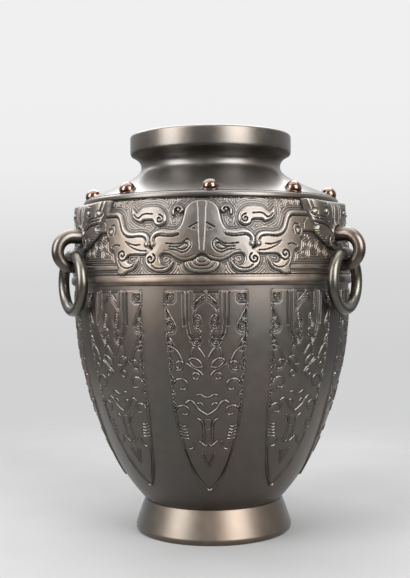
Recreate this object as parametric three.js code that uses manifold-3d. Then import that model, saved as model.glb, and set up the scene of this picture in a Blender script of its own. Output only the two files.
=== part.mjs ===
// Bronze baluster vase with three masked loop handles and hanging rings.
// Millimetres, +Z up. The origin is on the turning axis, in the plane that the vase stands on.
// The front is towards -Y, and azimuths turn from the front towards +X.

import * as THREE from 'three';
import { mergeVertices, toCreasedNormals } from 'three/addons/utils/BufferGeometryUtils.js';
import Module from 'manifold-3d';

const wasm = await Module();
wasm.setup();

// Heights of the sections, from the standing plane up
const footHeight = 24.4;
const bellyHeight = 155.1;
const bellyTopHeight = 6.2;
const bandHeight = 6.3;
const friezeHeight = 53.6;
const lipHeight = 3.8;
const shoulderHeight = 26;
const neckFlareHeight = 9.3;
const rimHeight = 15.3;

// Radii of the outside
const footRadius = 59.6;
const footWaistRadius = 52.3;
const bellyRadius = 105.3;
const bandProud = 1.9;
const friezeFootStep = 1;
const friezeTopRadius = 97.4;
const neckRadius = 53.5;
const rimRadius = 61.8;

// How full the curves are: the angle that each leaves at, and the reach of its two ends
const bellyRise = { angle: 45.9, start: 42.5, end: 62 };
const shoulderRise = { angle: 27.8, start: 20.4, end: 9.6 };
const neckFlare = { angle: 31.1, start: 5.5, end: 3.7 };
const friezeBulge = 1.3;

// Walls and edges
const bodyWall = 3.2;
const shoulderWall = 3.6;
const footWall = 4;
const rimWall = 5.6;
const lipOverhang = 0.8;
const rimRound = 2.2;
const rimUndercut = 1.1;
const rimUndercutHeight = 3;
const standingRound = { width: 1.5, height: 4 };

// Joints between the castings
const seat = 0.3;
const spigotDepth = 6;
const spigotWall = 2.6;
const basePlateThickness = 3;
const basePlateLedge = 3.5;
const basePlateLedgeHeight = 3;

// Shoulder bosses
const bossCount = 9;
const bossInset = 7.4;
const bossTurn = 2.3;
const bossDiameter = 10.4;
const bossRise = 5.4;
const bossShank = { diameter: 4.4, length: 2.4 };

// Loop handles and their rings
const handles = [
  { side: 'left', azimuth: -60 },
  { side: 'right', azimuth: 60 },
  { side: 'back', azimuth: 180 },
];
const loopBar = 10;
const loopBend = 11.5;
const loopLegRise = 7.6;
const loopTenon = 6.4;
const loopPeen = { diameter: 10, thickness: 1.6 };
const ringBar = 7;
const ringDiameter = 48;
const ringBandGap = 1.6;
const linkGap = 0.4;

// Masks that the handles come out of
const maskWidth = 60;
const maskDrop = 34.5;
const maskEdgeRise = 2.2;
const maskKeelRise = 9.8;
const snoutWidth = 15;
const maskBrow = 5;
const maskBridge = 5;
const maskCrownRound = 9;
const maskSnoutRound = 5;

// Raised blades on the belly
const bladeCount = 9;
const bladeAngle = 30.6;
const bladeTopGap = 4;
const bladeTipHeight = 15.5;
const bladeShoulderHeight = 66;
const bladeFullness = 0.86;
const bladeTaper = 0.9;
const bladeRise = 0.8;

// Steps of the turned and bent surfaces
const turns = 45;
const bellySteps = 9;
const insideSteps = 5;
const curveSteps = 4;
const roundSteps = 3;
const domeSteps = 3;
const pinSides = 10;
const barSides = 12;
const ringSteps = 24;
const loopSteps = 16;

// Levels and radii that follow from these
const bodyFootZ = footHeight;
const bellyZ = bodyFootZ + bellyHeight;
const bandZ = bellyZ + bellyTopHeight;
const friezeZ = bandZ + bandHeight;
const lipZ = friezeZ + friezeHeight;
const shoulderZ = lipZ + lipHeight;
const neckZ = shoulderZ + shoulderHeight;
const rimZ = neckZ + neckFlareHeight;
const topZ = rimZ + rimHeight;
const bandRadius = bellyRadius + bandProud;
const friezeFootRadius = bandRadius - friezeFootStep;
const lipRadius = friezeTopRadius + lipOverhang;
const bossCircleRadius = friezeTopRadius - bossInset;
const rimFootRadius = rimRadius - rimUndercut;
const keelRadius = Math.max(friezeTopRadius + maskKeelRise, friezeFootRadius);

// The handle's loop, and the ring that hangs and swings in it clear of the raised band and the mask
const loopLowZ = friezeZ + loopLegRise;
const loopCentreZ = loopLowZ + loopBend;
const loopHighZ = loopCentreZ + loopBend;
const ringBackRadius = Math.max(bandRadius, keelRadius) + ringBandGap;
const loopCentreRadius = ringBackRadius + ringBar / 2;
const ringRadius = (ringDiameter - ringBar) / 2;
const ringPivotZ = loopLowZ + (loopBar + ringBar) / 2 + linkGap;

const material = (color, roughness) =>
  new THREE.MeshStandardMaterial({ color, roughness, metalness: 1 });

const point = (x, y) => new THREE.Vector2(x, y);
const { degToRad } = THREE.MathUtils;

// Solids for the cuts and joins

function closed(geometry) {
  const bare = geometry.clone();
  bare.deleteAttribute('normal');
  bare.deleteAttribute('uv');
  const merged = mergeVertices(bare);
  const index = merged.getIndex().array;
  const kept = [];
  for (let i = 0; i < index.length; i += 3) {
    const [a, b, c] = index.slice(i, i + 3);
    if (a !== b && b !== c && c !== a) kept.push(a, b, c);
  }
  merged.setIndex(kept);
  return merged;
}

function solid(geometry) {
  const merged = closed(geometry);
  return new wasm.Manifold(new wasm.Mesh({
    numProp: 3,
    vertProperties: new Float32Array(merged.getAttribute('position').array),
    triVerts: new Uint32Array(merged.getIndex().array),
  }));
}

function geometryOf(manifold) {
  const { vertProperties, triVerts } = manifold.getMesh();
  const geometry = new THREE.BufferGeometry();
  geometry.setAttribute('position', new THREE.BufferAttribute(vertProperties, 3));
  geometry.setIndex(new THREE.BufferAttribute(triVerts, 1));
  return toCreasedNormals(geometry, Math.PI / 6);
}

function namedMesh(name, shape, look) {
  const mesh = new THREE.Mesh(geometryOf(shape), look);
  mesh.name = name;
  return mesh;
}

const turnedTo = (azimuth, shape) =>
  shape.transform(new THREE.Matrix4().makeRotationZ(degToRad(azimuth)).elements);
const joined = (parts) => parts.reduce((whole, part) => whole.add(part));
const cutBy = (shape, tools) => tools.reduce((rest, tool) => rest.subtract(tool), shape);

// Turned forms: a closed outline of radius and height, turned about +Z

function turned(outline, segments = turns) {
  const ends = outline[0].x === 0 ? outline : [...outline, outline[0]];
  return solid(new THREE.LatheGeometry(ends, segments).rotateX(Math.PI / 2));
}

// Quarter of a round, from its start to its end, bulging towards the corner between them
function rounded(from, to, cornerFirst, steps = roundSteps) {
  const corner = cornerFirst === 'across' ? point(to.x, from.y) : point(from.x, to.y);
  return Array.from({ length: steps + 1 }, (_, step) => {
    const turn = (step / steps) * (Math.PI / 2);
    return point(
      corner.x + (from.x - corner.x) * (1 - Math.sin(turn)) + (to.x - corner.x) * (1 - Math.cos(turn)),
      corner.y + (from.y - corner.y) * (1 - Math.sin(turn)) + (to.y - corner.y) * (1 - Math.cos(turn)),
    );
  });
}

// A curve that leaves one point at an angle and reaches the other one upright
function rising(from, to, { angle, start, end }) {
  const heading = degToRad(angle);
  const way = Math.sign(to.x - from.x);
  return new THREE.CubicBezierCurve(
    from,
    point(from.x + way * start * Math.cos(heading), from.y + start * Math.sin(heading)),
    point(to.x, to.y - end),
    to,
  );
}

const bellyCurve = rising(point(footWaistRadius, bodyFootZ), point(bellyRadius, bellyZ), bellyRise);
const friezeCurve = new THREE.QuadraticBezierCurve(
  point(friezeFootRadius, friezeZ),
  point((friezeFootRadius + friezeTopRadius) / 2 + 2 * friezeBulge, (friezeZ + lipZ) / 2),
  point(friezeTopRadius, lipZ),
);
const shoulderCurve = rising(point(friezeTopRadius, shoulderZ), point(neckRadius, neckZ), shoulderRise);
const flareCurve = new THREE.CubicBezierCurve(
  point(neckRadius, neckZ),
  point(neckRadius, neckZ + neckFlare.start),
  point(
    rimFootRadius - neckFlare.end * Math.cos(degToRad(neckFlare.angle)),
    rimZ - neckFlare.end * Math.sin(degToRad(neckFlare.angle)),
  ),
  point(rimFootRadius, rimZ),
);

// The same line moved sideways, to the left of its direction
function offset(points, distance) {
  return points.map((here, i) => {
    const before = points[Math.max(i - 1, 0)];
    const after = points[Math.min(i + 1, points.length - 1)];
    const along = after.clone().sub(before).normalize();
    return point(here.x - along.y * distance, here.y + along.x * distance);
  });
}

// Outside of the body casting, from the foot joint to the lip
const bodyOutside = [
  ...bellyCurve.getPoints(bellySteps),
  point(bellyRadius, bandZ),
  ...rounded(point(bellyRadius, bandZ), point(bandRadius, bandZ + bandHeight / 2), 'across').slice(1),
  ...rounded(point(bandRadius, bandZ + bandHeight / 2), point(friezeFootRadius, friezeZ), 'up').slice(1),
  ...friezeCurve.getPoints(curveSteps).slice(1),
];

// Inside of its wall, between the seats of the two spigots
const landZ = bodyFootZ + spigotDepth + seat;
const rebateZ = lipZ - spigotDepth - seat;
const bodyInside = offset([
  ...bellyCurve.getPoints(insideSteps),
  ...friezeCurve.getPoints(insideSteps),
], bodyWall).filter(({ x, y }) => x > footWaistRadius - bodyWall && y > landZ && y < rebateZ);

// Radius of an outline at a height
function radiusOn(outline, z) {
  const above = Math.max(1, outline.findIndex((corner) => corner.y >= z));
  const [low, high] = [outline[above - 1], outline[above]];
  return THREE.MathUtils.mapLinear(z, low.y, high.y, low.x, high.x);
}

// The space that an outline encloses, grown by a clearance or a rise
function spaceIn(outline, growth) {
  const skin = outline.map((corner) => point(corner.x + growth, corner.y));
  return turned([point(0, skin[0].y), ...skin, point(0, skin.at(-1).y)]);
}

// Straight cuts of a shape drawn from the front, from above or from the right-hand side

const extruded = (shape, depth) =>
  new THREE.ExtrudeGeometry(shape, { depth, bevelEnabled: false, curveSegments: curveSteps });

function seenFromFront(shape, near, far) {
  return solid(extruded(shape, far - near).rotateX(Math.PI / 2).translate(0, -near, 0));
}

function seenFromAbove(shape, low, high) {
  return solid(extruded(shape, high - low).rotateX(Math.PI).translate(0, 0, high));
}

function seenFromSide(shape, width) {
  return solid(extruded(shape, width)
    .rotateX(Math.PI / 2)
    .rotateZ(-Math.PI / 2)
    .translate(width / 2, 0, 0));
}

// Castings

const plateRadius = footRadius - standingRound.width - footWall;

function footRing() {
  const ledgeRadius = plateRadius + seat - basePlateLedge;
  const spigotRadius = footWaistRadius - bodyWall - seat;
  const innerRadius = spigotRadius - spigotWall;
  const ledgeZ = basePlateThickness + seat;
  const standing = point(footRadius - standingRound.width, 0);
  return turned([
    ...rounded(standing, point(footRadius, standingRound.height), 'across'),
    point(footWaistRadius, bodyFootZ - seat),
    point(spigotRadius, bodyFootZ - seat),
    point(spigotRadius, bodyFootZ + spigotDepth),
    point(innerRadius, bodyFootZ + spigotDepth),
    point(innerRadius, bodyFootZ - footWall),
    point(ledgeRadius, ledgeZ + basePlateLedgeHeight),
    point(ledgeRadius, ledgeZ),
    point(plateRadius + seat, ledgeZ),
    point(plateRadius + seat, 0),
  ]);
}

function basePlate() {
  return turned([
    point(0, 0),
    point(plateRadius, 0),
    point(plateRadius, basePlateThickness),
    point(0, basePlateThickness),
  ]);
}

function bladeShape() {
  const half = bellyRadius * Math.sin(degToRad(bladeAngle / 2));
  const top = bandZ - bladeTopGap;
  const tip = bodyFootZ + bladeTipHeight;
  const bend = bodyFootZ + bladeShoulderHeight;
  const fullest = tip + (bend - tip) * bladeFullness / 2;
  const shape = new THREE.Shape();
  shape.moveTo(0, tip);
  shape.quadraticCurveTo(half * bladeFullness, fullest, half * bladeTaper, bend);
  shape.lineTo(half, top);
  shape.lineTo(-half, top);
  shape.lineTo(-half * bladeTaper, bend);
  shape.quadraticCurveTo(-half * bladeFullness, fullest, 0, tip);
  return shape;
}

function bodyCasting() {
  const landRadius = footWaistRadius - bodyWall;
  const blank = turned([
    ...bodyOutside,
    point(friezeTopRadius - bodyWall, lipZ),
    point(friezeTopRadius - bodyWall, rebateZ),
    ...bodyInside.toReversed(),
    point(landRadius, landZ),
    point(landRadius, bodyFootZ),
  ]);
  const blade = seenFromFront(bladeShape(), footWaistRadius / 2, 2 * bellyRadius);
  const skin = spaceIn(bodyOutside, bladeRise);
  const blades = Array.from({ length: bladeCount }, (_, i) =>
    skin.intersect(turnedTo((i * 360) / bladeCount, blade)));
  const sockets = handles.flatMap(({ azimuth }) =>
    tenonBars(loopTenon / 2 + seat).map((bar) => turnedTo(azimuth, bar)));
  const outer = cutBy(joined(blades), [spaceIn(bodyOutside, -bodyWall / 2)]);
  return cutBy(blank.add(outer), sockets);
}

const shoulderLine = shoulderCurve.getPoints(curveSteps);

function shoulderCasting() {
  const outside = [...shoulderLine, ...flareCurve.getPoints(roundSteps).slice(1)];
  const spigotRadius = friezeTopRadius - bodyWall - seat;
  const innerRadius = spigotRadius - spigotWall;
  const neckBore = neckRadius - shoulderWall;
  const inside = offset(shoulderLine, shoulderWall)
    .filter((corner) => corner.x > neckBore && corner.x < innerRadius);
  const rimBore = rimRadius - rimWall;
  const blank = turned([
    point(friezeTopRadius, lipZ + seat),
    point(lipRadius, lipZ + seat + lipOverhang),
    point(lipRadius, shoulderZ - lipOverhang),
    ...outside,
    point(rimRadius, rimZ + rimUndercutHeight),
    ...rounded(point(rimRadius, topZ - rimRound), point(rimRadius - rimRound, topZ), 'up'),
    ...rounded(point(rimBore + rimRound, topZ), point(rimBore, topZ - rimRound), 'across'),
    point(neckBore, neckZ + neckFlareHeight / 2),
    point(neckBore, neckZ - neckFlareHeight / 2),
    ...inside.reverse(),
    point(innerRadius, lipZ),
    point(innerRadius, lipZ - spigotDepth),
    point(spigotRadius, lipZ - spigotDepth),
    point(spigotRadius, lipZ + seat),
  ]);
  return cutBy(blank, bossPlaces.map((place) => bossSocket().transform(place)));
}

// Shoulder bosses: domed heads whose shanks are let into blind sockets in the shoulder

const bossPlaces = placesOnShoulder();

function placesOnShoulder() {
  const inner = shoulderLine.findIndex((corner) => corner.x < bossCircleRadius);
  const [low, high] = [shoulderLine[inner - 1], shoulderLine[inner]];
  const height = THREE.MathUtils.mapLinear(bossCircleRadius, low.x, high.x, low.y, high.y);
  const lean = Math.atan2(high.y - low.y, low.x - high.x);
  return Array.from({ length: bossCount }, (_, i) => new THREE.Matrix4()
    .makeRotationZ(degToRad(bossTurn + (i * 360) / bossCount))
    .multiply(new THREE.Matrix4().makeTranslation(0, -bossCircleRadius, height))
    .multiply(new THREE.Matrix4().makeRotationX(lean))
    .elements);
}

function bossSocket() {
  const radius = bossShank.diameter / 2 + seat;
  return turned([
    point(0, -bossShank.length - seat),
    point(radius, -bossShank.length - seat),
    point(radius, bossRise),
    point(0, bossRise),
  ], pinSides);
}

function boss() {
  const head = rounded(point(bossDiameter / 2, seat), point(0, seat + bossRise), 'up', domeSteps);
  head.at(-1).x = 0;
  return turned([
    point(0, -bossShank.length),
    point(bossShank.diameter / 2, -bossShank.length),
    point(bossShank.diameter / 2, seat),
    ...head,
  ], pinSides);
}

// Handles: drawn at the front and turned to their places.
// There x is across the handle, and the distance out from the axis is -y.

// A round bar that points out of the vase, between two distances from the axis
function radialBar(radius, from, to, z) {
  const bar = new THREE.CylinderGeometry(radius, radius, to - from, barSides);
  return solid(bar.translate(0, -(from + to) / 2, z));
}

function tenonBars(radius) {
  return [loopLowZ, loopHighZ].map((z) => {
    const skin = radiusOn(bodyOutside, z);
    return radialBar(radius, skin - 2 * bodyWall, skin + bodyWall, z);
  });
}

// The loop's centre line: out of the mask, round the bend and back to the wall below
class LoopLine extends THREE.Curve {
  getPoint(t, target = new THREE.Vector3()) {
    const leg = loopCentreRadius - friezeTopRadius;
    const arc = Math.PI * loopBend;
    const walked = t * (2 * leg + arc);
    if (walked < leg) return target.set(0, -(friezeTopRadius + walked), loopHighZ);
    const back = walked - leg - arc;
    if (back > 0) return target.set(0, -(loopCentreRadius - back), loopLowZ);
    const turn = Math.PI / 2 - (walked - leg) / loopBend;
    const reach = loopCentreRadius + loopBend * Math.cos(turn);
    return target.set(0, -reach, loopCentreZ + loopBend * Math.sin(turn));
  }
}

function loop(azimuth) {
  const section = new THREE.Shape().absarc(0, 0, loopBar / 2, 0, 2 * Math.PI);
  const bar = solid(new THREE.ExtrudeGeometry(section, {
    curveSegments: barSides / 2,
    steps: loopSteps,
    extrudePath: new LoopLine(),
    bevelEnabled: false,
  }));
  const inner = turnedTo(-azimuth, spaceIn(bodyInside, -seat));
  const ends = [loopLowZ, loopHighZ].flatMap((z) => {
    const inside = radiusOn(bodyInside, z);
    return [
      radialBar(loopTenon / 2, inside - loopPeen.thickness / 2, inside + 2 * bodyWall, z),
      radialBar(loopPeen.diameter / 2, inside - loopPeen.thickness, inside + bodyWall, z).intersect(inner),
    ];
  });
  return joined([bar.subtract(turnedTo(-azimuth, spaceIn(bodyOutside, seat))), ...ends]);
}

function ring() {
  return solid(new THREE.TorusGeometry(ringRadius, ringBar / 2, barSides, ringSteps)
    .rotateX(Math.PI / 2)
    .translate(0, -loopCentreRadius, ringPivotZ - ringRadius));
}

// The mask is what three outlines share: from the front, from above and from the side.
// Its keel is the line that stands out furthest, and a ring that is swung up lies just clear of it.
function mask(azimuth) {
  const top = lipZ - seat;
  const bottom = top - maskDrop;
  const half = maskWidth / 2;
  const chin = bottom + maskSnoutRound;

  const front = new THREE.Shape();
  front.moveTo(-half, top);
  front.lineTo(-half + maskBrow, top - maskBrow);
  front.lineTo(-snoutWidth / 2, chin);
  front.quadraticCurveTo(-snoutWidth / 3, bottom, 0, bottom);
  front.quadraticCurveTo(snoutWidth / 3, bottom, snoutWidth / 2, chin);
  front.lineTo(half - maskBrow, top - maskBrow);
  front.lineTo(half, top);

  const edge = Math.sqrt(friezeTopRadius ** 2 - half ** 2) + maskEdgeRise;
  const above = new THREE.Shape();
  above.moveTo(-half, 0);
  above.lineTo(-half, edge);
  above.lineTo(-maskBridge / 2, keelRadius);
  above.lineTo(maskBridge / 2, keelRadius);
  above.lineTo(half, edge);
  above.lineTo(half, 0);

  const side = new THREE.Shape();
  side.moveTo(0, bottom);
  side.lineTo(radiusOn(bodyOutside, bottom) + maskEdgeRise, bottom);
  side.quadraticCurveTo(keelRadius, bottom, keelRadius, chin);
  side.lineTo(keelRadius, top - maskCrownRound);
  side.quadraticCurveTo(keelRadius, top, lipRadius, top);
  side.lineTo(0, top);

  const block = seenFromFront(front, 0, 2 * keelRadius)
    .intersect(seenFromAbove(above, bottom, top))
    .intersect(seenFromSide(side, maskWidth));
  const legHole = radialBar(loopBar / 2 + seat, 0, 2 * keelRadius, loopHighZ);
  return cutBy(block, [turnedTo(-azimuth, spaceIn(bodyOutside, seat)), legHole]);
}

const looks = {
  body: material(0x3d3833, 0.5),
  turned: material(0x47403a, 0.36),
  foot: material(0x4e3d33, 0.34),
  boss: material(0x7a4c38, 0.28),
  mask: material(0x4b4540, 0.42),
  loop: material(0x5b473b, 0.34),
  ring: material(0x51493d, 0.36),
};

const vase = new THREE.Group();
vase.add(
  namedMesh('foot_ring', footRing(), looks.foot),
  namedMesh('base_plate', basePlate(), looks.foot),
  namedMesh('body_wall', bodyCasting(), looks.body),
  namedMesh('shoulder_neck', shoulderCasting(), looks.turned),
);

bossPlaces.forEach((place, i) => {
  vase.add(namedMesh(`shoulder_boss_${i + 1}`, boss().transform(place), looks.boss));
});

for (const { side, azimuth } of handles) {
  const handle = new THREE.Group();
  handle.rotation.z = degToRad(azimuth);
  handle.add(
    namedMesh(`mask_${side}`, mask(azimuth), looks.mask),
    namedMesh(`loop_${side}`, loop(azimuth), looks.loop),
    namedMesh(`ring_${side}`, ring(), looks.ring),
  );
  vase.add(handle);
}

export default vase;
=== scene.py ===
"""Looks of the bronze baluster vase: cast relief, patina and soft studio light around the CAD frame.

Sizes in the drawing code are millimetres and turn into metres where a mesh is made.
The front is towards -Y, and azimuths turn from the front towards +X.
"""

import math

import bpy
import numpy as np
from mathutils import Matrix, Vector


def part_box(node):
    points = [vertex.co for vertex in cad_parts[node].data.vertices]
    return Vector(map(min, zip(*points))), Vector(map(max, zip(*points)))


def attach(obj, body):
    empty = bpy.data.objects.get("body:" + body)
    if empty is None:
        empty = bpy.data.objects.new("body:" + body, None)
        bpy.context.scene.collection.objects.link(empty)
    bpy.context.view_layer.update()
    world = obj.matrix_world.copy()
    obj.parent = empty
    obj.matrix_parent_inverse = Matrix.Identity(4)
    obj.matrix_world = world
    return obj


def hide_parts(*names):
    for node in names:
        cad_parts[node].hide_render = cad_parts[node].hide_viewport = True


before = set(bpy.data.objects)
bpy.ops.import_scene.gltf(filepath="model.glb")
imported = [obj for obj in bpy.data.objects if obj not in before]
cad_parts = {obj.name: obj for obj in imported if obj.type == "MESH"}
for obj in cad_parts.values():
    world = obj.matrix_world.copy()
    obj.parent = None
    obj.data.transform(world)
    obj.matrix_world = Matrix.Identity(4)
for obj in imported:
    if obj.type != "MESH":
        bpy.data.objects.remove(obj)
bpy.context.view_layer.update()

MM = 0.001
VASE = "vase"


def corners(node):
    """Lowest and highest corner of a CAD node, in millimetres."""
    low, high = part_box(node)
    return np.array(low) / MM, np.array(high) / MM


# Levels and radii read from the frame

BODY_LOW, BODY_HIGH = corners("body_wall")
RING_LOW, RING_HIGH = corners("ring_back")
BODY_FOOT_Z = BODY_LOW[2]
LIP_Z = BODY_HIGH[2]
TOP_Z = corners("shoulder_neck")[1][2]
FOOT_RADIUS = corners("foot_ring")[1][0]
PLATE_RADIUS, _, PLATE_THICKNESS = corners("base_plate")[1]
RING_REACH = (RING_LOW[1] + RING_HIGH[1]) / 2
RING_PIVOT_Z = RING_HIGH[2] - (RING_HIGH[1] - RING_LOW[1]) / 2

# The turned outline

FOOT_WAIST_RADIUS = 52.3
BELLY_RADIUS = 104.6
BELLY_HEIGHT = 155.1
BELLY_TOP_HEIGHT = 6.2
BAND_RADIUS = 107.2
BAND_HEIGHT = 6.3
FRIEZE_FOOT_RADIUS = 106.2
FRIEZE_TOP_RADIUS = 96.6
FRIEZE_BULGE = 1.3
LIP_OVERHANG = 0.8
LIP_HEIGHT = 3.8
SHOULDER_HEIGHT = 26
NECK_RADIUS = 53.5
NECK_FLARE_HEIGHT = 9.3
RIM_RADIUS = 61.8
RIM_UNDERCUT = 1.1
RIM_UNDERCUT_HEIGHT = 3
RIM_ROUND = 2.2
STANDING_ROUND = (1.5, 4)
FOOT_EDGE = (0.4, 0.9)
FOOT_SWEEP = ((1.6, 9), (2.6, 17.5))
LIP_FOOT_ROUND = (0.3, 0.8)
LIP_TOP_ROUND = (2.6, 1.9)
LIP_CREST = 0.5
THROAT_LEVELS = (8, 9, -5)

RIM_WALL = 5.6
SHOULDER_WALL = 3.6
BODY_WALL = 3.2
FOOT_WALL = 4
SEAT = 0.3
SPIGOT_DEPTH = 6
SPIGOT_WALL = 2.6
PLATE_LEDGE = 3.5
PLATE_LEDGE_HEIGHT = 3

# How full the curves are: the angle of the slanting end, and the reach of the first and the last end
BELLY_RISE = (45.9, 42.5, 62)
SHOULDER_RISE = (27.8, 20.4, 9.6)
NECK_FLARE = (31.1, 5.5, 3.7)

BELLY_Z = BODY_FOOT_Z + BELLY_HEIGHT
BAND_Z = BELLY_Z + BELLY_TOP_HEIGHT
FRIEZE_Z = BAND_Z + BAND_HEIGHT
SHOULDER_Z = LIP_Z + LIP_HEIGHT
NECK_Z = SHOULDER_Z + SHOULDER_HEIGHT
RIM_Z = NECK_Z + NECK_FLARE_HEIGHT
LIP_RADIUS = FRIEZE_TOP_RADIUS + LIP_OVERHANG

# Handles and bosses

HANDLES = {"left": -60, "right": 60, "back": 180}
RING_BAR = 8
RING_RADIUS = 20
RING_DROP = 0.6
LINK_GAP = 0.4
LOOP_ROOT = 11.2
LOOP_TIP = 8.4
LOOP_BEND = 11.1
LOOP_TAPER = 0.7
LOOP_SUNK = 1.5
RING_TOP_Z = RING_PIVOT_Z - RING_DROP
LOOP_LOW_Z = RING_TOP_Z - (LOOP_TIP + RING_BAR) / 2 - LINK_GAP
LOOP_MIDDLE_Z = LOOP_LOW_Z + LOOP_BEND
LOOP_HIGH_Z = LOOP_MIDDLE_Z + LOOP_BEND

BOSS_COUNT = 9
BOSS_CIRCLE_RADIUS = FRIEZE_TOP_RADIUS - 6.4
BOSS_TURN = 2.3
BOSS_DIAMETER = 11.4
BOSS_RISE = 5.6
BOSS_COLLAR = (12.8, 0.35)
BOSS_SHANK = 2.2
BOSS_SLOPE_STEP = 3
BOSS_SIDES = 64

# Relief and meshes

FRIEZE_FACES = 3
FRIEZE_TURN = -0.9
FRIEZE_SPAN = 104.0
BLADE_COUNT = 9
BLADE_TURN = 0.4
BLADE_SPAN = 100.0
SECTOR_PARTS = 2
RELIEF_GRID = 0.34
WEAR_AND_SHADE_REACH = 0.9
WEAR_AND_SHADE_HEIGHT = 0.45
INSIDE_STEP = 12
TURNED_SIDES = 240
BAR_SIDES = 40
RING_STEPS = 160
LOOP_STEPS = 110
AXIS_GAP = 0.05
SAME_PLACE = 1e-6
EDGE_ANGLE = 40
BAR_EDGE_ANGLE = 50
PATCH_EDGE_ANGLE = 75


# Lines

def bezier(*controls, count=64):
    """Points along a Bezier curve."""
    share = np.linspace(0, 1, count + 1)[:, None]
    points = [np.array(control, float) for control in controls]
    while len(points) > 1:
        points = [a * (1 - share) + b * share for a, b in zip(points, points[1:])]
    return points[0]


def rising(start, end, rise):
    """A curve that leaves one point at an angle and reaches the other one upright."""
    angle, reach_start, reach_end = rise
    way = math.copysign(reach_start, end[0] - start[0])
    heading = math.radians(angle)
    first = (start[0] + way * math.cos(heading), start[1] + reach_start * math.sin(heading))
    return bezier(start, first, (end[0], end[1] - reach_end), end)


def quarter(start, end, corner_first, count=8):
    """A quarter round from start to end, bulging towards the corner between them."""
    corner = np.array((end[0], start[1]) if corner_first == "across" else (start[0], end[1]), float)
    turn = np.linspace(0, math.pi / 2, count + 1)[:, None]
    to_start, to_end = np.array(start) - corner, np.array(end) - corner
    return corner + to_start * (1 - np.sin(turn)) + to_end * (1 - np.cos(turn))


def chain(*lines):
    """Several lines end to end, with no point twice."""
    points = np.concatenate([np.atleast_2d(np.array(line, float)) for line in lines])
    keep = np.r_[True, np.linalg.norm(np.diff(points, axis=0), axis=1) > SAME_PLACE]
    return points[keep]


def walked(points):
    """How far along a line each of its points is."""
    return np.r_[0, np.cumsum(np.linalg.norm(np.diff(points, axis=0), axis=1))]


def spaced(points, count):
    """The same line as so many equal steps."""
    length = walked(points)
    even = np.linspace(0, length[-1], count + 1)
    return np.stack([np.interp(even, length, column) for column in points.T], -1)


def left_normals(points):
    """Unit normals on the left of a line that isn't closed."""
    along = np.gradient(points, axis=0)
    along /= np.linalg.norm(along, axis=1, keepdims=True)
    return np.stack([-along[:, 1], along[:, 0]], -1)


def straight(*points):
    return np.array(points, float)


def curve(*points, step=0.7):
    """A smooth line through the points, which are millimetres across and up."""
    knots = np.array(points, float)
    knots = np.concatenate([2 * knots[:1] - knots[1:2], knots, 2 * knots[-1:] - knots[-2:-1]])
    line = []
    for before, a, b, after in zip(knots, knots[1:], knots[2:], knots[3:]):
        count = max(2, int(np.linalg.norm(b - a) / step))
        t = np.arange(count)[:, None] / count
        line.append(0.5 * (2 * a + (b - before) * t + (2 * before - 5 * a + 4 * b - after) * t ** 2
                           + (3 * a - before - 3 * b + after) * t ** 3))
    return np.concatenate([*line, knots[-2:-1]])


def spiral(centre, radius, turns, start=0):
    """A line that winds inwards, anticlockwise, from a start angle in degrees."""
    count = max(12, int(turns * math.tau * radius))
    share = np.linspace(0, 1, count)
    angle = math.radians(start) + share * turns * math.tau
    reach = radius * (1 - 0.88 * share)
    return np.stack([centre[0] + reach * np.cos(angle), centre[1] + reach * np.sin(angle)], -1)


def arc(centre, radius, start=0, end=360, tall=1.0, count=20):
    """Part of a circle between two angles in degrees."""
    angle = np.radians(np.linspace(start, end, count))
    return np.stack([centre[0] + radius * np.cos(angle), centre[1] + tall * radius * np.sin(angle)], -1)


def full_turn(count):
    """So many equal steps round a circle, as angles."""
    return np.arange(count) * math.tau / count


# Relief: a height over the plain wall, drawn with shapes, rims, grooves, threads and balls

FAR = 1e3
SHAPE_REACH = 11.0
DOME_REACH = 6
SINK_SLOPE = 0.6
SEED_REACH = 8.0
SEED_GAP = 0.2
GROUND_REACH = 9
BALL_GROUND_REACH = 3
THREAD_CREST = 0.45
THREAD_FLANK = 1.1


def half_round(gap, reach):
    """The height of a half-round section, 1 in the middle and 0 from its reach on."""
    return np.sqrt(np.clip(1 - (gap / reach) ** 2, 0, 1))


def ripple(place, pitch):
    """Waves of that pitch, 1 at the start and 0 half a wave on."""
    return 0.5 + 0.5 * np.cos(math.tau * place / pitch)


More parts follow.
